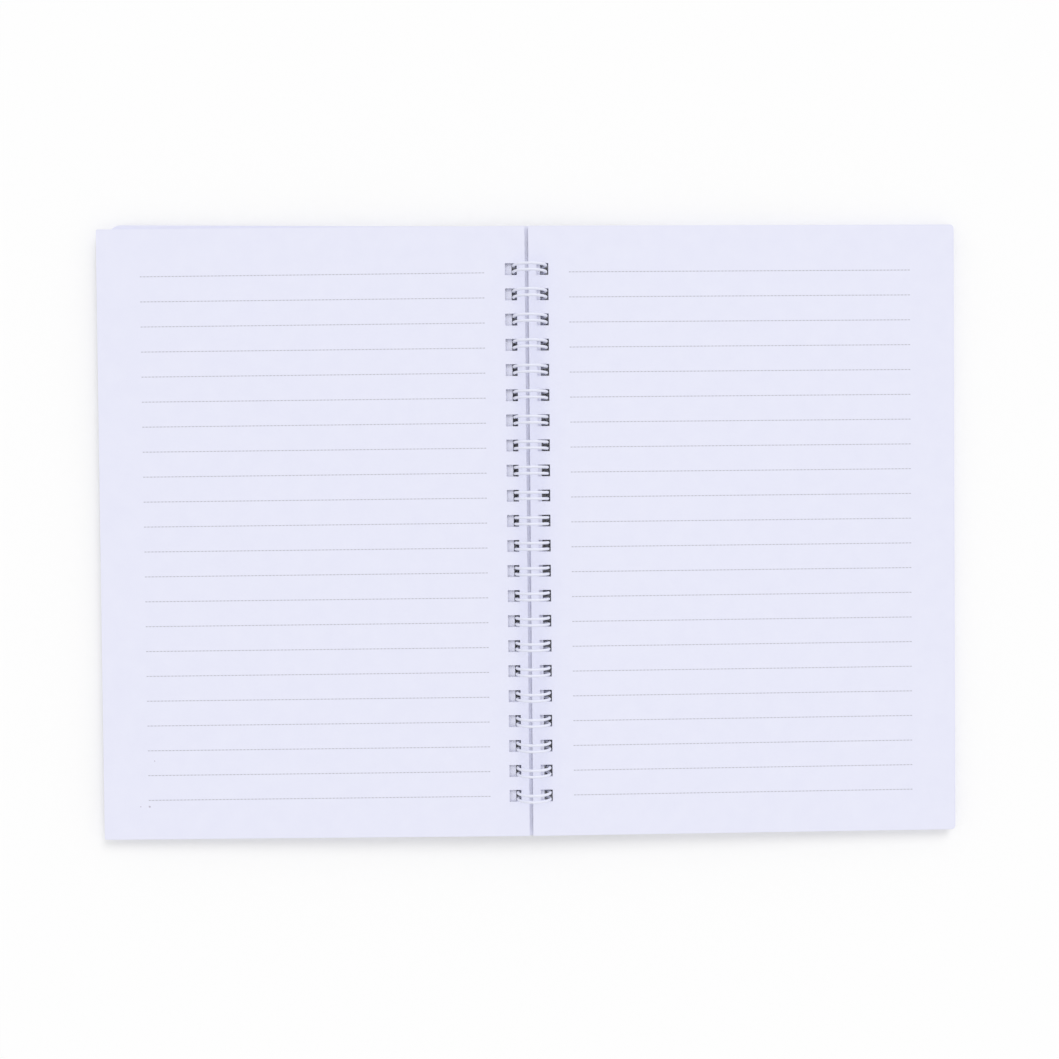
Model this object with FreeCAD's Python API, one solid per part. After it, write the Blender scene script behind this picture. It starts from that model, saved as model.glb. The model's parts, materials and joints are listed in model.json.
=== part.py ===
import FreeCAD, Part
import math
import os

# An open wire-bound notebook, in millimetres, lying on a table at z = 0.
# x runs across the spread, y along the spine, z up.
# The origin is on the table, under the middle of the spread's outline.

Vector = FreeCAD.Vector
X_AXIS = Vector(1, 0, 0)
Y_AXIS = Vector(0, 1, 0)
Z_AXIS = Vector(0, 0, 1)
LEFT = -1
RIGHT = 1

# Leaves: a trimmed leaf, and how thick each half of the block is
leaf_width = 144.0
leaf_height = 206.0
leaf_corner = 0.5
half_thickness = 3.3
top_sheet_thickness = 0.2

# Punched holes, one row along the spine edge of every leaf and cover
loop_pitch = 8.467
row_end_margin = 12.0
hole_row_offset = -0.4
hole_margin = 2.7

# Covers: plain card, trimmed a little narrower than the leaves
cover_thickness = 0.5
cover_trim = 0.4
cover_corner = 3.9
cover_spine_gap = 0.4

# Twin-loop wire
wire_diameter = 0.95
twin_spacing = 2.1
ring_table_clearance = 0.1
base_angle = 22.0
tip_angle = 16.0
base_bend_radius = 0.8

# Room between the wire and the edges of the holes that it runs through
hole_side_clearance = 0.475
cover_inner_clearance = 0.1
left_top_inner_clearance = 0.7
right_top_outer_clearance = 0.35
right_bottom_inner_clearance = 0.2

# How the two open halves lie on the wire
page_below_axis = 0.05
leaf_cover_gap = 0.1
spine_gap = 0.2
under_left_corner = 3.9
right_corner = 1.3
right_edge_step = 0.5

# A few leaves of the left half sit askew and show above the top edge
askew_angle = 0.67
askew_thickness = 0.3
askew_depth = 1.4
askew_edge_inset = 4.0
askew_corner = 3.9

# The covers lie flat on the table, then rise to the wire
rise_start = 70.0
rise_end = 8.0

# Helpers of the model: how far raw layers run past a leaf, and when two places count as one
over_reach = 1.1
same_place = 0.001

# What follows from these: the holes and the ring, with x and z from its axis
loop_count = int((leaf_height - 2 * row_end_margin) / loop_pitch) + 1
hole_size = twin_spacing + wire_diameter + 2 * hole_side_clearance
block_below_axis = page_below_axis + half_thickness
cover_below_axis = block_below_axis + leaf_cover_gap + cover_thickness
ring_inner_radius = math.hypot(cover_spine_gap / 2 + hole_margin, cover_below_axis) + cover_inner_clearance
ring_radius = ring_inner_radius + wire_diameter / 2
ring_outer_radius = ring_inner_radius + wire_diameter

# Heights above the table
axis_z = ring_outer_radius + ring_table_clearance
page_spine_z = axis_z - page_below_axis
cover_rise = axis_z - cover_below_axis
block_floor = cover_thickness + leaf_cover_gap
page_edge_z = block_floor + half_thickness
page_slope = (page_spine_z - page_edge_z) / leaf_width

# Spine edges: the top leaves hang on the wire by their holes, and the two halves nest on a leaning face
left_top_spine_edge = hole_margin + left_top_inner_clearance - ring_inner_radius
right_top_spine_edge = ring_outer_radius + right_top_outer_clearance - hole_size - hole_margin
wire_side_at_floor = math.sqrt(ring_inner_radius ** 2 - block_below_axis ** 2)
right_floor_spine_edge = wire_side_at_floor - right_bottom_inner_clearance - hole_margin
left_floor_spine_edge = right_floor_spine_edge - spine_gap
spine_lean = (right_floor_spine_edge - right_top_spine_edge) / half_thickness

# Outer edges, and where the axis lies in the part's own frame
left_edge = left_top_spine_edge - leaf_width
left_under_edge = left_floor_spine_edge - leaf_width
right_top_edge = right_top_spine_edge + leaf_width
right_under_edge = right_top_edge + right_edge_step
axis_x = -(left_edge + right_under_edge) / 2
cover_width = leaf_width - cover_trim

# Raw layers and cutting tools run past what they make or cut
raw_length = leaf_height * 2
raw_bottom = -axis_z
raw_top = axis_z * 2


def loop_places():
    """The y of each loop's middle."""
    first = hole_row_offset - loop_pitch * (loop_count - 1) / 2
    return [first + loop_pitch * number for number in range(loop_count)]


def rise_curve(level):
    """A cover's underside in the right half, raised by level: flat on the table, then up to the wire."""
    run = rise_start - rise_end
    turn = 2 * math.atan(cover_rise / run)
    radius = run / 2 / math.sin(turn)
    half_run = radius * math.sin(turn / 2)
    half_rise = radius * (1 - math.cos(turn / 2))
    outside = Vector(leaf_width * over_reach, 0, level)
    foot = Vector(rise_start, 0, level)
    lower = Vector(rise_start - half_run, 0, level + half_rise)
    middle = Vector((rise_start + rise_end) / 2, 0, level + cover_rise / 2)
    upper = Vector(rise_end + half_run, 0, level + cover_rise - half_rise)
    head = Vector(rise_end, 0, level + cover_rise)
    inside = Vector(-rise_end, 0, level + cover_rise)
    return [
        Part.makeLine(outside, foot),
        Part.Arc(foot, lower, middle).toShape(),
        Part.Arc(middle, upper, head).toShape(),
        Part.makeLine(head, inside),
    ]


def page_line(depth):
    """The straight slope of the open page in the right half, lowered by depth."""
    reach = leaf_width * over_reach
    outside = Vector(reach, 0, page_spine_z - reach * page_slope - depth)
    inside = Vector(-rise_end, 0, page_spine_z + rise_end * page_slope - depth)
    return [Part.makeLine(outside, inside)]


def layer(side, lower, upper):
    """Everything between two curves that both run inwards, for one half, taller than a leaf."""
    ends = [(curve[0].Vertexes[0].Point, curve[-1].Vertexes[-1].Point) for curve in (lower, upper)]
    joins = [Part.makeLine(ends[0][number], ends[1][number]) for number in range(len(ends))]
    face = Part.Face(Part.Wire(Part.__sortEdges__(lower + upper + joins)))
    face.translate(Vector(0, -raw_length / 2, 0))
    solid = face.extrude(Vector(0, raw_length, 0))
    if side == LEFT:
        solid = solid.mirror(Vector(0, 0, 0), X_AXIS)
    return solid


def outline(inner_edge, outer_edge, corner):
    """A tall prism between two edges, with its two outer corners rounded."""
    low = min(inner_edge, outer_edge)
    width = abs(outer_edge - inner_edge)
    prism = Part.makeBox(width, leaf_height, raw_top - raw_bottom, Vector(low, -leaf_height / 2, raw_bottom))
    upright = [edge for edge in prism.Edges if abs(edge.Vertexes[0].Z - edge.Vertexes[1].Z) > axis_z]
    outer = [edge for edge in upright if abs(edge.Vertexes[0].X - outer_edge) < same_place]
    return prism.makeFillet(corner, outer)


def bar(side, spine_edge, lean, start, width, y, length):
    """A tall bar along y beside a spine edge, whose sides lean with it. Spine_edge is the edge at page height."""
    corners = []
    for z, reach in ((raw_bottom, start), (raw_bottom, start + width), (raw_top, start + width), (raw_top, start)):
        corners.append(Vector(spine_edge + lean * (page_spine_z - z) + side * reach, y, z))
    face = Part.Face(Part.makePolygon(corners + corners[:1]))
    return face.extrude(Vector(0, length, 0))


def trimmed(side, solid, spine_edge, lean):
    """A solid ended at its spine edge and punched beside it."""
    kept = solid.common(bar(side, spine_edge, lean, 0, leaf_width * over_reach, -raw_length / 2, raw_length))
    starts = [place - hole_size / 2 for place in loop_places()]
    pegs = [bar(side, spine_edge, lean, hole_margin, hole_size, start, hole_size) for start in starts]
    return kept.cut(Part.makeCompound(pegs))


def sheets(side, lower, upper, spine_edge, lean, outer_edge, corner):
    """Punched sheets between two curves, with their outline."""
    solid = layer(side, lower, upper).common(outline(-side * rise_end, outer_edge, corner))
    return trimmed(side, solid, spine_edge, lean)


def askew_sheets(spine_edge):
    """The leaves of the left half that sit askew, turned about their top corner at the spine."""
    upper = page_line(askew_depth)
    lower = page_line(askew_depth + askew_thickness)
    turned = outline(left_floor_spine_edge, left_edge + askew_edge_inset, askew_corner)
    turned.rotate(Vector(left_floor_spine_edge, leaf_height / 2, 0), Z_AXIS, -askew_angle)
    return trimmed(LEFT, layer(LEFT, lower, upper).common(turned), spine_edge, spine_lean)


def left_leaves():
    """The left half of the block: the top leaf is pushed outwards, and a few lie askew."""
    spine_edge = right_top_spine_edge - spine_gap
    seam = page_line(top_sheet_thickness)
    top = sheets(LEFT, seam, page_line(0), left_top_spine_edge, 0, left_edge, leaf_corner)
    under = sheets(LEFT, rise_curve(block_floor), seam, spine_edge, spine_lean, left_under_edge, under_left_corner)
    return top.fuse(under.fuse(askew_sheets(spine_edge))).removeSplitter()


def right_leaves():
    """The right half of the block: the leaves under the top one stand out a little at the outer edge."""
    spine_edge = right_top_spine_edge
    seam = page_line(top_sheet_thickness)
    top = sheets(RIGHT, seam, page_line(0), spine_edge, 0, right_top_edge, right_corner)
    under = sheets(RIGHT, rise_curve(block_floor), seam, spine_edge, spine_lean, right_under_edge, right_corner)
    return top.fuse(under).removeSplitter()


def cover(side):
    """One card cover, flat on the table and bent up to the wire."""
    spine_edge = side * cover_spine_gap / 2
    outer_edge = spine_edge + side * cover_width
    return sheets(side, rise_curve(0), rise_curve(cover_thickness), spine_edge, 0, outer_edge, cover_corner)


def ring_point(angle, y):
    """A point on the middle of the wire, at an angle in degrees up from +x."""
    turn = math.radians(angle)
    return Vector(ring_radius * math.cos(turn), y, axis_z + ring_radius * math.sin(turn))


def along_ring(angle):
    """The direction in which the ring goes on at an angle."""
    turn = math.radians(angle)
    return Vector(-math.sin(turn), 0, math.cos(turn))


def ring_run(start, end, y):
    """One wire of a loop, round the ring from one angle to another."""
    middle = (start + end) / 2
    return Part.Arc(ring_point(start, y), ring_point(middle, y), ring_point(end, y)).toShape()


def quarter_bend(start, go, turn_to, radius):
    """A quarter turn from a point, leaving along one direction and ending along another."""
    middle = start + go * (radius * math.sin(math.pi / 4)) + turn_to * (radius * (1 - math.cos(math.pi / 4)))
    end = start + go * radius + turn_to * radius
    return Part.Arc(start, middle, end).toShape(), end


def wire_path():
    """The middle of the wire: up one side of each loop, round its tip, down the other, and on to the next loop."""
    base = -90.0 + base_angle
    tip = 270.0 - tip_angle
    edges = []
    places = loop_places()
    for number, place in enumerate(places):
        first, second = place - twin_spacing / 2, place + twin_spacing / 2
        edges.append(ring_run(base, tip, first))
        apex = ring_point(tip, place) + along_ring(tip) * (twin_spacing / 2)
        edges.append(Part.Arc(ring_point(tip, first), apex, ring_point(tip, second)).toShape())
        edges.append(ring_run(tip, base, second))
        if number + 1 < len(places):
            onward = ring_point(base, places[number + 1] - twin_spacing / 2)
            outward = along_ring(base) * -1
            bend, bend_end = quarter_bend(ring_point(base, second), outward, Y_AXIS, base_bend_radius)
            run_end = onward + outward * base_bend_radius - Y_AXIS * base_bend_radius
            last, _ = quarter_bend(run_end, Y_AXIS, outward * -1, base_bend_radius)
            edges += [bend, Part.makeLine(bend_end, run_end), last]
    return Part.Wire(edges)


def wire_binding():
    """The whole comb of loops, one wire from end to end."""
    path = wire_path()
    first = path.Edges[0]
    start, onward = first.valueAt(first.FirstParameter), first.tangentAt(first.FirstParameter)
    section = Part.Wire([Part.makeCircle(wire_diameter / 2, start, onward)])
    return path.makePipeShell([section], True, True)


def save(node, shape):
    """Moves a shape from the wire's axis to the part's origin and writes it."""
    shape.translate(X_AXIS * axis_x)
    box = shape.optimalBoundingBox()
    print(f"{node}: {len(shape.Solids)} solid, valid {shape.isValid()}, volume {shape.Volume:.1f}")
    print(f"  x {box.XMin:.2f} to {box.XMax:.2f}, y {box.YMin:.2f} to {box.YMax:.2f}, z {box.ZMin:.2f} to {box.ZMax:.2f}")
    shape.exportStep(f"parts/{node}.step")


os.makedirs("parts", exist_ok=True)
save("front_cover", cover(LEFT))
save("back_cover", cover(RIGHT))
save("left_leaves", left_leaves())
save("right_leaves", right_leaves())
save("wire_binding", wire_binding())
print(f"ring axis at x {axis_x:.4f}, z {axis_z:.4f}, wire middle radius {ring_radius:.4f}, {loop_count} loops")
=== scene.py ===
# %% [markdown]
# # An open spiral notebook
#
# The notebook lies open and flat. Its loose leaves and its two card covers hang on one comb of
# twin-loop wire. The solids are already packed, and this lesson dresses them for a photograph:
# it makes every leaf by itself, bends a lighter wire, prints the ruled lines and lights the table.
#
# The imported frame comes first, because every piece is placed from it.

# %% Load the frame
import json
import math

import bmesh
import bpy
from mathutils import Matrix, Vector


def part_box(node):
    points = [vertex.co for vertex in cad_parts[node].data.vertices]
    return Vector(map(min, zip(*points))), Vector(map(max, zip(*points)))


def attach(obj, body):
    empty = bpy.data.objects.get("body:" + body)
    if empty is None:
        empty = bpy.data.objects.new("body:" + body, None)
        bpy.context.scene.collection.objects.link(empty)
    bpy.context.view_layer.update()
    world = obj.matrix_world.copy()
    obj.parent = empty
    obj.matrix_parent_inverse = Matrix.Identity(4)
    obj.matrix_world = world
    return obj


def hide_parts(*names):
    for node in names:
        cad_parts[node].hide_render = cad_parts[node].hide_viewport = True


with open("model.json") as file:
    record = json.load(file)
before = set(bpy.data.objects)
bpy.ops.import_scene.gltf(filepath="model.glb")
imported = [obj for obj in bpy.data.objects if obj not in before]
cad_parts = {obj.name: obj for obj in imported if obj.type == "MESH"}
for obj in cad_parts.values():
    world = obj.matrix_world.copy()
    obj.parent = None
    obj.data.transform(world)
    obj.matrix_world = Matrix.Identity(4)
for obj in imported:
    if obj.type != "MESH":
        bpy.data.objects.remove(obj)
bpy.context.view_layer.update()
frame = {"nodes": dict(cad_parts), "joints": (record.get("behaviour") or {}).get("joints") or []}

# %% [markdown]
# ## Small helpers
#
# Blender works in metres, while paper and wire are spoken of in millimetres, so sizes are written
# as a number times `MM`. A colour is written as a hex code, which is how a screen stores it. Shaders
# want linear light, and one function turns the one into the other. Others add a node, set it up and
# link it, for shader trees and geometry trees alike, and bring new meshes into the scene.

# %% Units, colours and nodes
MM = 0.001
LEFT = -1
RIGHT = 1


def paint(code):
    """A hex colour as linear red, green, blue and alpha, by the curve that screens use."""
    shares = [int(code[place:place + 2], 16) / 255 for place in (1, 3, 5)]
    linear = [share / 12.92 if share <= 0.04045 else ((share + 0.055) / 1.055) ** 2.4 for share in shares]
    return linear + [1.0]


def add(tree, kind, inputs=(), **settings):
    """Adds a node. Inputs gives each socket, by name or number, a value or another node's output."""
    node = tree.nodes.new(kind)
    for name, value in settings.items():
        setattr(node, name, value)
    for socket, value in dict(inputs).items():
        if isinstance(value, bpy.types.NodeSocket):
            tree.links.new(value, node.inputs[socket])
        else:
            node.inputs[socket].default_value = value
    return node


def math_node(tree, operation, *values):
    """The result of one sum, with its values in order."""
    return add(tree, "ShaderNodeMath", dict(enumerate(values)), operation=operation).outputs[0]


def mesh_data(name, mesh):
    """What a bmesh holds, as a mesh of that name."""
    data = bpy.data.meshes.new(name)
    mesh.to_mesh(data)
    mesh.free()
    return data


def placed(name, data):
    """A new object in the scene that shows a mesh, a lamp or a camera."""
    made = bpy.data.objects.new(name, data)
    bpy.context.scene.collection.objects.link(made)
    return made


# %% [markdown]
# ## The camera
#
# The photograph was taken from straight above, a little to the left of the spine, with the camera
# turned by about a degree in each direction. Its place and turns come from the ruled lines: their
# pitch and their slant fix the camera, as a surveyor's marks would. The lens is wide enough to hold
# the open spread from less than half a metre away.

# %% Camera at the photograph's place
photo_width_px = 1059
focal_px = 1333.9
camera_place = Vector((-6.81, 9.30, 456.0)) * MM
camera_turns = [-1.065, -0.872, -0.510]

camera_data = bpy.data.cameras.new("camera")
camera_data.sensor_width = 36.0
camera_data.lens = camera_data.sensor_width * focal_px / photo_width_px
camera_data.clip_start = 10 * MM
camera = placed("camera", camera_data)
turn = Matrix.Identity(4)
for degrees, axis in zip(camera_turns, "XYZ"):
    turn = Matrix.Rotation(math.radians(degrees), 4, axis) @ turn
camera.matrix_world = Matrix.Translation(camera_place) @ turn
bpy.context.scene.camera = camera
print("lens", round(camera_data.lens, 2), "mm")

# %% [markdown]
# ## Sizes of the notebook
#
# The wire's axis is read from the frame, and so are the edges of the spread. The rest are the sizes
# of real stationery: trimmed leaves of 144 by 206 mm, holes 8.467 mm apart, which is three to the
# inch, and thirty leaves of thin writing paper in each half, with a little air between them.

# %% Sizes from the frame and of the leaves
axis_x, _, axis_z = frame["joints"][0]["pos_m"]
wire_low, wire_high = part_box("wire_binding")
_, cover_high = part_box("back_cover")
left_low, left_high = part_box("left_leaves")
right_low, right_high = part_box("right_leaves")

leaf_width = 144.0 * MM
leaf_height = 206.0 * MM
leaf_thickness = 0.07 * MM
half_thickness = 3.3 * MM
half_count = 30

hole_count = 22
hole_pitch = 8.467 * MM
hole_size = 4.0 * MM
hole_margin = 2.7 * MM
hole_row_offset = -0.4 * MM

cover_thickness = 0.5 * MM
leaf_cover_gap = 0.1 * MM
page_below_axis = 0.05 * MM
spine_gap = 0.2 * MM
rise_start = 70.0 * MM
rise_end = 8.0 * MM
dip_depth = 0.85 * MM
dip_start = 30.0 * MM
dip_end = 6.0 * MM

page_spine_z = axis_z - page_below_axis
block_floor = cover_thickness + leaf_cover_gap
page_edge_z = block_floor + half_thickness
cover_rise = cover_high.z - cover_thickness

left_edge = left_low.x - axis_x
right_edge = right_high.x - axis_x
left_top_spine = left_edge + leaf_width
right_top_spine = right_low.x - axis_x
left_floor_spine = left_high.x - axis_x
right_floor_spine = left_floor_spine + spine_gap
top_gap = right_top_spine - left_top_spine
print("leaves in a half:", half_count, " gap between the top leaves:", round(top_gap, 4))


def hole_places():
    """The y of each hole's middle."""
    first = hole_row_offset - hole_pitch * (hole_count - 1) / 2
    return [first + hole_pitch * number for number in range(hole_count)]


def page_height(distance):
    """The height of the open page at a distance from the axis."""
    return page_spine_z + (page_edge_z - page_spine_z) * distance / leaf_width


def floor_height(distance):
    """The height of the cover's inside: flat on the table, then in two arcs up to the wire."""
    share = min(max((rise_start - distance) / (rise_start - rise_end), 0), 1)
    bend = 2 * share ** 2 if share < 0.5 else 1 - 2 * (1 - share) ** 2
    return block_floor + cover_rise * bend


def spine_dip(distance):
    """How far the leaves below the top ones sink at the wire: all the way near it, then fading out."""
    share = min(max((dip_start - distance) / (dip_start - dip_end), 0), 1)
    return dip_depth * share ** 2 * (3 - 2 * share)


# %% [markdown]
# ## One leaf
#
# A leaf is a thin plate with 22 punched holes. Its mesh has a narrow strip of small faces beside the
# spine, where the holes are, and long faces beyond, because only the direction across the spread
# bends. Two numbers are stored on every point: the height of the page and of the cover below it.
# The tree that stacks the leaves reads them. The leaves under the top ones hang almost a millimetre
# deeper on the wire, so the gap at the spine and the holes show a second sheet in the shade.

# %% Mesh of one leaf
bend_columns = 18
corner_steps = 6
strip_margin = 2.0 * MM


def leaf_columns(outer_reach, corner):
    """Distances from the spine edge beyond the strip of holes, up to where the corners begin."""
    first = hole_margin + hole_size + strip_margin
    last = outer_reach - corner
    return [first + (last - first) * number / bend_columns for number in range(bend_columns + 1)]


def leaf_rows():
    """The y of each line of points in the strip of holes: both ends and both sides of every hole."""
    rows = [-leaf_height / 2]
    for place in hole_places():
        rows += [place - hole_size / 2, place + hole_size / 2]
    return rows + [leaf_height / 2]


def corner_arc(outer_reach, corner):
    """Distances and heights along the leaf's outer end, from the lower corner to the upper one."""
    points = []
    for number in range(corner_steps + 1):
        angle = math.pi / 2 * number / corner_steps
        reach = outer_reach - corner * (1 - math.sin(angle))
        y = -leaf_height / 2 + corner * (1 - math.cos(angle))
        points.append((reach, y))
    return points + [(reach, -y) for reach, y in reversed(points)]


def leaf_faces(mesh, outer_reach, corner):
    """The upper face of a flat leaf, as faces of a bmesh in distances from the spine edge."""
    rows = leaf_rows()
    strip = [0, hole_margin, hole_margin + hole_size]
    grid = [[mesh.verts.new((reach, y, 0)) for y in rows] for reach in strip]
    for column in range(len(strip) - 1):
        for row in range(len(rows) - 1):
            is_hole = column == 1 and row % 2 == 1
            if not is_hole:
                near, far = grid[column], grid[column + 1]
                mesh.faces.new((near[row], far[row], far[row + 1], near[row + 1]))
    ends = (rows[0], rows[-1])
    columns = leaf_columns(outer_reach, corner)
    lines = [[mesh.verts.new((reach, y, 0)) for y in ends] for reach in columns]
    mesh.faces.new(list(reversed(grid[-1])) + lines[0])
    for near, far in zip(lines, lines[1:]):
        mesh.faces.new((near[0], far[0], far[1], near[1]))
    outer = [mesh.verts.new((reach, y, 0)) for reach, y in corner_arc(outer_reach, corner)[1:-1]]
    mesh.faces.new([lines[-1][1], lines[-1][0]] + outer)


def thicken(mesh):
    """Makes a thin closed plate of a flat leaf: an underside, and walls along every open edge."""
    upper_faces = mesh.faces[:]
    open_edges = [edge for edge in mesh.edges if edge.is_boundary]
    below = {}
    for vertex in mesh.verts[:]:
        below[vertex] = mesh.verts.new(vertex.co - Vector((0, 0, leaf_thickness)))
    for face in upper_faces:
        mesh.faces.new([below[vertex] for vertex in face.verts])
    for edge in open_edges:
        start, end = edge.verts
        mesh.faces.new((start, end, below[end], below[start]))
    bmesh.ops.recalc_face_normals(mesh, faces=mesh.faces[:])


def leaf_object(name, side, spine, outer, corner, dips, turned):
    """A thin closed leaf of one half, turned about its top corner at the spine."""
    mesh = bmesh.new()
    outer_reach = abs(outer - spine)
    leaf_faces(mesh, outer_reach, corner)
    for vertex in mesh.verts:
        vertex.co.x = spine + side * vertex.co.x
    top_corner = Vector((spine, leaf_height / 2, 0))
    about = Matrix.Rotation(math.radians(turned), 3, "Z")
    bmesh.ops.rotate(mesh, cent=top_corner, matrix=about, verts=mesh.verts[:])
    thicken(mesh)
    data = mesh_data(name, mesh)
    distances = [abs(vertex.co.x) for vertex in data.vertices]
    numbers = {
        "page": [page_height(distance) - dips * spine_dip(distance) for distance in distances],
        "floor": [floor_height(distance) for distance in distances],
    }
    for number_name, values in numbers.items():
        data.attributes.new(number_name, "FLOAT", "POINT").data.foreach_set("value", values)
    return placed(name, data)


# %% [markdown]
# ## A stack of leaves
#
# Geometry Nodes repeat the leaf. The tree copies it as often as its Count says, gives every copy its
# number, and lays it at its share of the way from the page down to the cover. Real leaves never lie
# quite square, so each one is pushed and turned by a hair, with a fixed seed. The tree ends in real
# geometry and a material, and its result is kept as a plain mesh.

# %% Tree that stacks leaves
turn_seed_step = 100


def tree_sockets(tree, inputs, output):
    """Gives a geometry tree its inputs and its one output, and returns what it is given."""
    for name, kind in inputs.items():
        tree.interface.new_socket(name=name, in_out="INPUT", socket_type="NodeSocket" + kind)
    tree.interface.new_socket(name=output, in_out="OUTPUT", socket_type="NodeSocketGeometry")
    return add(tree, "NodeGroupInput").outputs


def made_real(tree, copies, number):
    """Real geometry of some copies, with each copy's number stored on it."""
    named = {"Geometry": copies, "Name": "number", "Value": number}
    stored = add(tree, "GeometryNodeStoreNamedAttribute", named, data_type="FLOAT", domain="INSTANCE")
    return add(tree, "GeometryNodeRealizeInstances", {0: stored.outputs[0]}).outputs[0]


def read_back(tree, names):
    """The numbers stored under some names."""
    read = {}
    for name in names:
        stored = add(tree, "GeometryNodeInputNamedAttribute", {"Name": name}, data_type="FLOAT")
        read[name] = stored.outputs[0]
    return read


def hand_over(tree, geometry, material):
    """Gives geometry its material and makes it the tree's result."""
    painted = add(tree, "GeometryNodeSetMaterial", {"Geometry": geometry, "Material": material})
    add(tree, "NodeGroupOutput", {0: painted.outputs[0]})


def stack_tree():
    """A geometry tree that lays copies of one leaf between the page and the cover."""
    tree = bpy.data.node_groups.new("stack of leaves", "GeometryNodeTree")
    given = tree_sockets(tree, {
        "Leaf": "Geometry", "Count": "Int", "First share": "Float", "Share step": "Float",
        "Push": "Vector", "Turn": "Vector", "Seed": "Int", "Material": "Material"}, "Leaves")
    points = add(tree, "GeometryNodeMeshLine", {"Count": given["Count"], "Offset": (0, 0, 0)})
    number = add(tree, "GeometryNodeInputIndex").outputs["Index"]
    hairs = []
    for size, seed_step in (("Push", 0), ("Turn", turn_seed_step)):
        seed = math_node(tree, "ADD", given["Seed"], seed_step)
        least = add(tree, "ShaderNodeVectorMath", {0: given[size], "Scale": -1}, operation="SCALE")
        spread = {0: least.outputs[0], 1: given[size], 7: number, 8: seed}
        hairs.append(add(tree, "FunctionNodeRandomValue", spread, data_type="FLOAT_VECTOR").outputs[0])
    copies = add(tree, "GeometryNodeInstanceOnPoints", {
        "Points": points.outputs[0], "Instance": given["Leaf"], "Rotation": hairs[1]})
    copies = add(tree, "GeometryNodeTranslateInstances", {
        "Instances": copies.outputs[0], "Translation": hairs[0], "Local Space": False})
    real = made_real(tree, copies.outputs[0], number)
    read = read_back(tree, ("number", "page", "floor"))
    share = math_node(tree, "MULTIPLY_ADD", read["number"], given["Share step"], given["First share"])
    height = add(tree, "ShaderNodeMix", {0: share, 2: read["page"], 3: read["floor"]}, clamp_factor=False)
    offset = add(tree, "ShaderNodeCombineXYZ", {"Z": height.outputs[0]})
    laid = add(tree, "GeometryNodeSetPosition", {"Geometry": real, "Offset": offset.outputs[0]})
    hand_over(tree, laid.outputs[0], given["Material"])
    return tree


def kept(made, tree, settings):
    """Runs a tree on an object with its inputs set, and leaves the result on it as a plain mesh."""
    modifier = made.modifiers.new(tree.name, "NODES")
    modifier.node_group = tree
    sockets = {item.name: item.identifier for item in tree.interface.items_tree if item.in_out == "INPUT"}
    for name, value in settings.items():
        modifier[sockets[name]] = value
    bpy.context.view_layer.update()
    evaluated = made.evaluated_get(bpy.context.evaluated_depsgraph_get())
    plain = bpy.data.meshes.new_from_object(evaluated)
    made.modifiers.remove(modifier)
    made.data = plain
    for name in ("number", "page", "floor", "link"):
        if name in plain.attributes:
            plain.attributes.remove(plain.attributes[name])
    return made


# %% [markdown]
# ## Paper
#
# The leaves are uncoated writing paper: wood fibre, bleached and tinted a cool white that leans to
# violet. It has no gloss, so its roughness is high, and its fibres are felt more than seen: a faint
# mottling and a tiny bump. The ruling is printed in pale grey as fine rows of dots, 22 lines to a
# page. Lines and dots are worked out from Object coordinates, so they turn with the leaf.

# %% Helpers for materials
def new_material(name):
    """A new material with its node tree, its shader and the places on the object."""
    material = bpy.data.materials.new(name)
    material.use_nodes = True
    tree = material.node_tree
    place = add(tree, "ShaderNodeTexCoord").outputs["Object"]
    return material, tree, tree.nodes["Principled BSDF"], place


def noise(tree, place, size, detail):
    """Cloudy noise with patches of about the given size."""
    cloud = add(tree, "ShaderNodeTexNoise", {"Vector": place, "Scale": 1 / size, "Detail": detail})
    return cloud.outputs[0]


def mixed(tree, share, first, second):
    """The colour at a share of the way from the first one to the second."""
    return add(tree, "ShaderNodeMix", {0: share, 6: first, 7: second}, data_type="RGBA").outputs[2]


def dress(tree, shader, colour, height, strength, depth):
    """Gives a shader its colour, and a bump of some strength and depth."""
    bump = add(tree, "ShaderNodeBump", {"Height": height, "Strength": strength, "Distance": depth})
    tree.links.new(colour, shader.inputs["Base Color"])
    tree.links.new(bump.outputs[0], shader.inputs["Normal"])


# %% Ruled paper
paper_white = "#EBECFB"
paper_shade = "#E6E7F8"
line_grey = "#A6A6AE"
speck_grey = "#C4BFCF"
line_count = 22
line_pitch = 8.416 * MM
line_length = 115.8 * MM
line_width = 0.3 * MM
# The real dots lie 0.7 mm apart, too fine to show from here, so they are drawn 1.2 mm apart.
dot_period = 1.2 * MM
dot_strength = 0.52
dot_swing = 0.22
mottle_size = 6.0 * MM
mottle_detail = 4.0
fibre_size = 0.5 * MM
fibre_detail = 6.0
fibre_strength = 0.15
fibre_depth = 0.05 * MM


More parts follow.
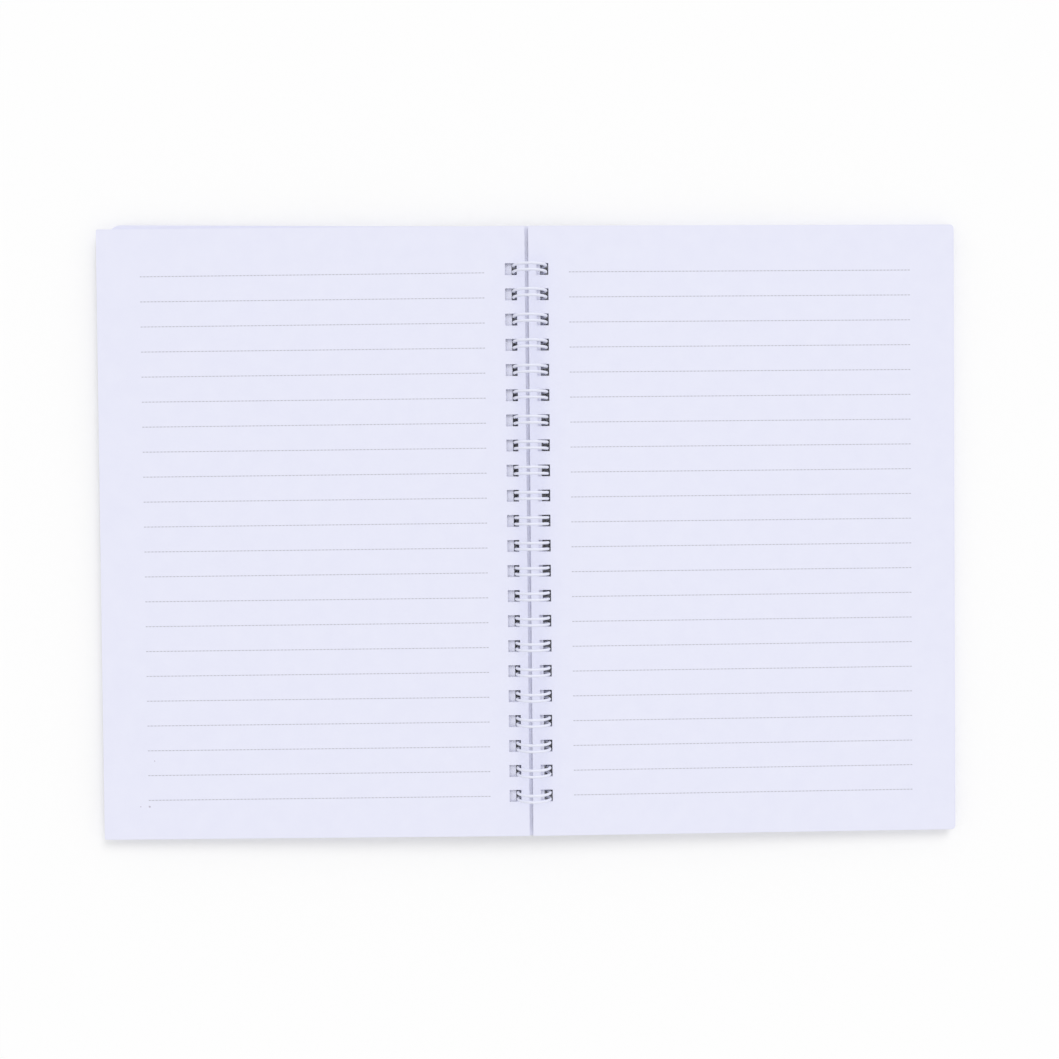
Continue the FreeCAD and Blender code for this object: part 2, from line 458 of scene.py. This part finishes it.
def ruling(tree, place, middle_x, first_y, slant):
    """How strongly the ruling's ink covers a place on the leaf, from 0 to 1."""
    own = add(tree, "ShaderNodeMapping", {
        "Vector": place, "Location": (middle_x, first_y, 0), "Rotation": (0, 0, math.radians(slant))},
        vector_type="TEXTURE")
    parts = add(tree, "ShaderNodeSeparateXYZ", {0: own.outputs[0]}).outputs
    steps = math_node(tree, "DIVIDE", parts["Y"], -line_pitch)
    nearest = math_node(tree, "ROUND", steps)
    nearest = math_node(tree, "MINIMUM", math_node(tree, "MAXIMUM", nearest, 0), line_count - 1)
    away = math_node(tree, "ABSOLUTE", math_node(tree, "SUBTRACT", steps, nearest))
    on_line = math_node(tree, "LESS_THAN", away, line_width / 2 / line_pitch)
    within = math_node(tree, "LESS_THAN", math_node(tree, "ABSOLUTE", parts["X"]), line_length / 2)
    wave = math_node(tree, "COSINE", math_node(tree, "MULTIPLY", parts["X"], 2 * math.pi / dot_period))
    dots = math_node(tree, "MULTIPLY_ADD", wave, dot_swing, dot_strength)
    return math_node(tree, "MULTIPLY", math_node(tree, "MULTIPLY", on_line, within), dots)


def dirt(tree, place, specks):
    """Where small specks lie on the leaf, each given by its x, its y and its radius."""
    flat = add(tree, "ShaderNodeVectorMath", {0: place, 1: (1, 1, 0)}, operation="MULTIPLY").outputs[0]
    covered = 0.0
    for x, y, radius in specks:
        away = add(tree, "ShaderNodeVectorMath", {0: flat, 1: (x, y, 0)}, operation="DISTANCE")
        inside = math_node(tree, "LESS_THAN", away.outputs["Value"], radius)
        covered = math_node(tree, "MAXIMUM", inside, covered)
    return covered


def ruled_paper(name, middle_x, first_y, slant, specks=()):
    """Writing paper with one page's ruling, and with the specks that lie on it."""
    material, tree, shader, place = new_material(name)
    mottle = noise(tree, place, mottle_size, mottle_detail)
    colour = mixed(tree, mottle, paint(paper_shade), paint(paper_white))
    colour = mixed(tree, ruling(tree, place, middle_x, first_y, slant), colour, paint(line_grey))
    if specks:
        colour = mixed(tree, dirt(tree, place, specks), colour, paint(speck_grey))
    fibre = noise(tree, place, fibre_size, fibre_detail)
    dress(tree, shader, colour, fibre, fibre_strength, fibre_depth)
    shader.inputs["Roughness"].default_value = 0.9
    shader.inputs["Specular IOR Level"].default_value = 0.3
    return material


left_ruling_middle = axis_x - 73.17 * MM
left_ruling_first = 87.16 * MM
left_ruling_slant = 0.161
right_ruling_middle = axis_x + 71.10 * MM
right_ruling_first = 87.57 * MM
right_ruling_slant = 0.097
# Each speck's x, y and radius.
left_specks = [
    (-129.5 * MM, -91.9 * MM, 0.35 * MM),
    (-132.5 * MM, -91.9 * MM, 0.2 * MM),
    (-127.6 * MM, -76.4 * MM, 0.2 * MM),
]
left_paper = ruled_paper(
    "ruled_writing_paper_left", left_ruling_middle, left_ruling_first, left_ruling_slant, left_specks)
right_paper = ruled_paper(
    "ruled_writing_paper_right", right_ruling_middle, right_ruling_first, right_ruling_slant)

# %% [markdown]
# ## The two halves of the block
#
# The top two leaves of the left half are pushed outwards, so their punched edge no longer covers that
# of the leaves below. Three leaves further down sit askew and peep out above the top edge. The right
# half is tidier: only its top two leaves stand back a little. Each half becomes one mesh on its body.

# %% Stacks of both halves
top_count = 2
askew_first = 14
askew_count = 3
askew_turn = -0.67
askew_inset = 4.0 * MM
left_top_corner = 0.5 * MM
left_under_corner = 3.9 * MM
right_corner = 1.3 * MM
hair_push = 0.06 * MM
hair_turn = math.radians(0.012)
top_hair = 0.3
leaf_stack = stack_tree()


def stack(name, side, spine, outer, corner, material, first, count, dips=1.0, turned=0.0, hair=1.0):
    """Leaves of one half, from the first one's number down."""
    leaf = leaf_object(name, side, spine, outer, corner, dips, turned)
    settings = {
        "Count": count,
        "First share": first / half_count,
        "Share step": 1 / half_count,
        "Push": (hair_push * hair, hair_push * hair, 0),
        "Turn": (0, 0, hair_turn * hair),
        "Seed": first,
        "Material": material,
    }
    return kept(leaf, leaf_stack, settings)


def joined(name, pieces, material):
    """Several plain meshes as one, moved from the wire's axis to the notebook's own frame."""
    mesh = bmesh.new()
    for piece in pieces:
        mesh.from_mesh(piece.data)
    bmesh.ops.translate(mesh, vec=(axis_x, 0, 0), verts=mesh.verts[:])
    for face in mesh.faces:
        face.material_index = 0
    data = mesh_data(name, mesh)
    data.materials.append(material)
    for piece in pieces:
        bpy.data.objects.remove(piece)
    made = placed(name, data)
    print(name, len(data.polygons), "faces")
    return made


left_under_edge = left_floor_spine - leaf_width
askew_edge = left_edge + askew_inset
askew_end = askew_first + askew_count
left_block = joined("left_loose_leaves", [
    stack("top", LEFT, left_top_spine, left_edge, left_top_corner, left_paper,
          0, top_count, dips=0.0, hair=top_hair),
    stack("under", LEFT, left_floor_spine, left_under_edge, left_under_corner, left_paper,
          top_count, askew_first - top_count),
    stack("askew", LEFT, left_floor_spine, askew_edge, left_under_corner, left_paper,
          askew_first, askew_count, turned=askew_turn),
    stack("lower", LEFT, left_floor_spine, left_under_edge, left_under_corner, left_paper,
          askew_end, half_count - askew_end),
], left_paper)
right_top_edge = right_top_spine + leaf_width
right_block = joined("right_loose_leaves", [
    stack("top", RIGHT, right_top_spine, right_top_edge, right_corner, right_paper,
          0, top_count, dips=0.0, hair=top_hair),
    stack("under", RIGHT, right_floor_spine, right_edge, right_corner, right_paper,
          top_count, half_count - top_count),
], right_paper)
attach(left_block, "left_leaves")
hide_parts("left_leaves")
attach(right_block, "right_leaves")
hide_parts("right_leaves")

# %% [markdown]
# ## The wire
#
# A twin-loop binding is one steel wire, coated white, bent into pairs of fingers that are closed to
# rings. Its path has few kinds of bends, so Python works out one loop and the short run to the next
# one, and Geometry Nodes repeat it along the spine, weld the ends and sweep a round section along
# the whole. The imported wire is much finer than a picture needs, so this one takes its place.

# %% Path of one loop
wire_diameter = 0.95 * MM
twin_spacing = 2.1 * MM
bottom_angle = -90.0
base_angle = 22.0
tip_angle = 16.0
base_bend = 0.8 * MM
ring_steps = 60
tip_steps = 8
bend_steps = 5
wire_sides = 10
ring_radius = (wire_high.x - wire_low.x - wire_diameter) / 2


def ring_point(angle, y):
    """A point on the wire's middle line, at an angle in degrees up from +x."""
    turned = math.radians(angle)
    return Vector((axis_x + ring_radius * math.cos(turned), y, axis_z + ring_radius * math.sin(turned)))


def along_ring(angle):
    """The direction in which the ring goes on at an angle."""
    turned = math.radians(angle)
    return Vector((-math.sin(turned), 0, math.cos(turned)))


def arc_points(middle, first, second, turn_degrees, steps):
    """Points after the start of an arc about a middle, from its first arm towards its second."""
    angles = [math.radians(turn_degrees) * (number + 1) / steps for number in range(steps)]
    return [middle + first * math.cos(angle) + second * math.sin(angle) for angle in angles]


def loop_path():
    """One loop from its base over the tip and back, then the run to the next loop's base."""
    base = bottom_angle + base_angle
    tip = bottom_angle + 360.0 - tip_angle
    across = Vector((0, 1, 0))
    near, far = -twin_spacing / 2, twin_spacing / 2
    there = [base + (tip - base) * number / ring_steps for number in range(ring_steps + 1)]
    back = [tip + (base - tip) * number / ring_steps for number in range(1, ring_steps + 1)]
    points = [ring_point(angle, near) for angle in there]
    tip_middle = ring_point(tip, 0)
    points += arc_points(tip_middle, across * near, along_ring(tip) * far, 180, tip_steps)
    points += [ring_point(angle, far) for angle in back]
    outward = along_ring(base) * -1
    leave = ring_point(base, far) + across * base_bend
    points += arc_points(leave, across * -base_bend, outward * base_bend, 90, bend_steps)
    arrive = ring_point(base, near + hole_pitch) - across * base_bend
    points.append(arrive + outward * base_bend)
    points += arc_points(arrive, outward * base_bend, across * base_bend, 90, bend_steps)
    return points


loop_points = loop_path()
loop_edges = [(number, number + 1) for number in range(len(loop_points) - 1)]
link_start = 2 * ring_steps + tip_steps + 1
loop_data = bpy.data.meshes.new("wire_loop")
loop_data.from_pydata(loop_points, loop_edges, [])
is_link = [float(number >= link_start) for number in range(len(loop_points))]
loop_data.attributes.new("link", "FLOAT", "POINT").data.foreach_set("value", is_link)
wire = placed("twin_loop_wire", loop_data)
print("points in a loop:", len(loop_points))

# %% Tree that repeats the loop and sweeps the wire
weld_distance = 0.01 * MM
# The last loop's number is one less than the count, so this mark lies just before it.
last_mark = 1.5


def wire_tree():
    """A geometry tree that repeats a loop along y and sweeps one round wire along the whole."""
    tree = bpy.data.node_groups.new("twin-loop wire", "GeometryNodeTree")
    given = tree_sockets(tree, {
        "Loop": "Geometry", "Count": "Int", "First": "Float", "Pitch": "Float",
        "Radius": "Float", "Sides": "Int", "Material": "Material"}, "Wire")
    start = add(tree, "ShaderNodeCombineXYZ", {"Y": given["First"]})
    step = add(tree, "ShaderNodeCombineXYZ", {"Y": given["Pitch"]})
    row = add(tree, "GeometryNodeMeshLine", {
        "Count": given["Count"], "Start Location": start.outputs[0], "Offset": step.outputs[0]})
    copies = add(tree, "GeometryNodeInstanceOnPoints", {"Points": row.outputs[0], "Instance": given["Loop"]})
    number = add(tree, "GeometryNodeInputIndex").outputs["Index"]
    real = made_real(tree, copies.outputs[0], number)
    read = read_back(tree, ("number", "link"))
    last = math_node(tree, "SUBTRACT", given["Count"], last_mark)
    in_last = math_node(tree, "GREATER_THAN", read["number"], last)
    loose = math_node(tree, "MULTIPLY", in_last, read["link"])
    ended = add(tree, "GeometryNodeDeleteGeometry", {"Geometry": real, "Selection": loose}, domain="POINT")
    welded = add(tree, "GeometryNodeMergeByDistance", {
        "Geometry": ended.outputs[0], "Distance": weld_distance})
    path = add(tree, "GeometryNodeMeshToCurve", {0: welded.outputs[0]})
    section = add(tree, "GeometryNodeCurvePrimitiveCircle", {
        "Resolution": given["Sides"], "Radius": given["Radius"]})
    swept = add(tree, "GeometryNodeCurveToMesh", {
        "Curve": path.outputs[0], "Profile Curve": section.outputs[0], "Fill Caps": True})
    smooth = add(tree, "GeometryNodeSetShadeSmooth", {"Geometry": swept.outputs[0]})
    hand_over(tree, smooth.outputs[0], given["Material"])
    return tree


# %% [markdown]
# ## The wire's coat
#
# The steel is dipped in nylon, which is smooth, hard and a little glossy, with the slight unevenness
# of a coat that ran and set. Under soft light it shows as a bright white band with grey flanks.

# %% White nylon coat
coat_white = "#EBEDF9"
coat_shade = "#E3E5F5"
run_size = 1.5 * MM
run_detail = 2.0
run_strength = 0.1
run_depth = 0.03 * MM


def nylon_coat():
    """White nylon on steel wire."""
    material, tree, shader, place = new_material("white_nylon_coat")
    runs = noise(tree, place, run_size, run_detail)
    colour = mixed(tree, runs, paint(coat_shade), paint(coat_white))
    dress(tree, shader, colour, runs, run_strength, run_depth)
    shader.inputs["Roughness"].default_value = 0.4
    shader.inputs["IOR"].default_value = 1.53
    return material


wire = kept(wire, wire_tree(), {
    "Count": hole_count,
    "First": hole_places()[0],
    "Pitch": hole_pitch,
    "Radius": wire_diameter / 2,
    "Sides": wire_sides,
    "Material": nylon_coat(),
})
print("wire faces:", len(wire.data.polygons))
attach(wire, "back")
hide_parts("wire_binding")
# The photograph's light is so soft that the thin wire hardly shades the pages.
wire.visible_shadow = False

# %% [markdown]
# ## The covers
#
# The photograph hides the covers under the leaves. They are finished plainly, as smooth pale card,
# with the faint cloud and tooth that pressed board has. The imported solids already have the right
# shape, so they only get the material.

# %% Pale card
card_white = "#E9EBF3"
card_shade = "#E3E5EE"
cloud_size = 4.0 * MM
cloud_detail = 5.0
tooth_size = 0.4 * MM
tooth_detail = 4.0
tooth_strength = 0.2
tooth_depth = 0.04 * MM


def pale_card():
    """Smooth pale cover card."""
    material, tree, shader, place = new_material("pale_cover_card")
    cloud = noise(tree, place, cloud_size, cloud_detail)
    colour = mixed(tree, cloud, paint(card_shade), paint(card_white))
    tooth = noise(tree, place, tooth_size, tooth_detail)
    dress(tree, shader, colour, tooth, tooth_strength, tooth_depth)
    shader.inputs["Roughness"].default_value = 0.7
    return material


card = pale_card()
for name in ("front_cover", "back_cover"):
    cover = frame["nodes"][name]
    cover.data.materials.clear()
    cover.data.materials.append(card)

# %% [markdown]
# ## Table and light
#
# The notebook lies on a white table that runs out of the picture. A soft white sky lights everything
# evenly, and a wide, distant lamp from the upper right makes the shadow deeper at the lower left.
# Together they light a level surface so that a colour renders about as it is written. Where the
# camera sees the sky itself, or its mirror image, it is plain white.

# %% White table
table_white = "#FEFEFE"
table_reach = 12.0
table_drop = 0.02 * MM

table_mesh = bmesh.new()
bmesh.ops.create_grid(table_mesh, x_segments=1, y_segments=1, size=table_reach)
bmesh.ops.translate(table_mesh, vec=(0, 0, -table_drop), verts=table_mesh.verts[:])
table_data = mesh_data("table", table_mesh)
table = placed("table", table_data)
table_paint = bpy.data.materials.new("white_table")
table_paint.use_nodes = True
table_shader = table_paint.node_tree.nodes["Principled BSDF"]
table_shader.inputs["Base Color"].default_value = paint(table_white)
table_shader.inputs["Roughness"].default_value = 1.0
table_shader.inputs["Specular IOR Level"].default_value = 0.0
table_data.materials.append(table_paint)

# %% Soft sky and lamp
sky_strength = 0.835
lamp_share = 0.165
lamp_from = Vector((1.8, 4.2, 4.6)).normalized()
lamp_spread = math.radians(31)

world = bpy.data.worlds.new("soft_sky")
world.use_nodes = True
sky = world.node_tree.nodes["Background"]
sky.inputs["Color"].default_value = (1, 1, 1, 1)
sky_tree = world.node_tree
ray = add(sky_tree, "ShaderNodeLightPath").outputs
seen = math_node(sky_tree, "MAXIMUM", ray["Is Camera Ray"], ray["Is Glossy Ray"])
seen = math_node(sky_tree, "MAXIMUM", seen, ray["Is Transmission Ray"])
shown = math_node(sky_tree, "MULTIPLY_ADD", seen, 1.0 - sky_strength, sky_strength)
sky_tree.links.new(shown, sky.inputs["Strength"])
bpy.context.scene.world = world

lamp_data = bpy.data.lights.new("upper_right_lamp", "SUN")
lamp_data.angle = lamp_spread
lamp_data.energy = lamp_share * math.pi / lamp_from.z
lamp = placed("upper_right_lamp", lamp_data)
lamp.matrix_world = lamp_from.to_track_quat("Z", "Y").to_matrix().to_4x4()
bpy.context.scene.view_settings.view_transform = "Standard"
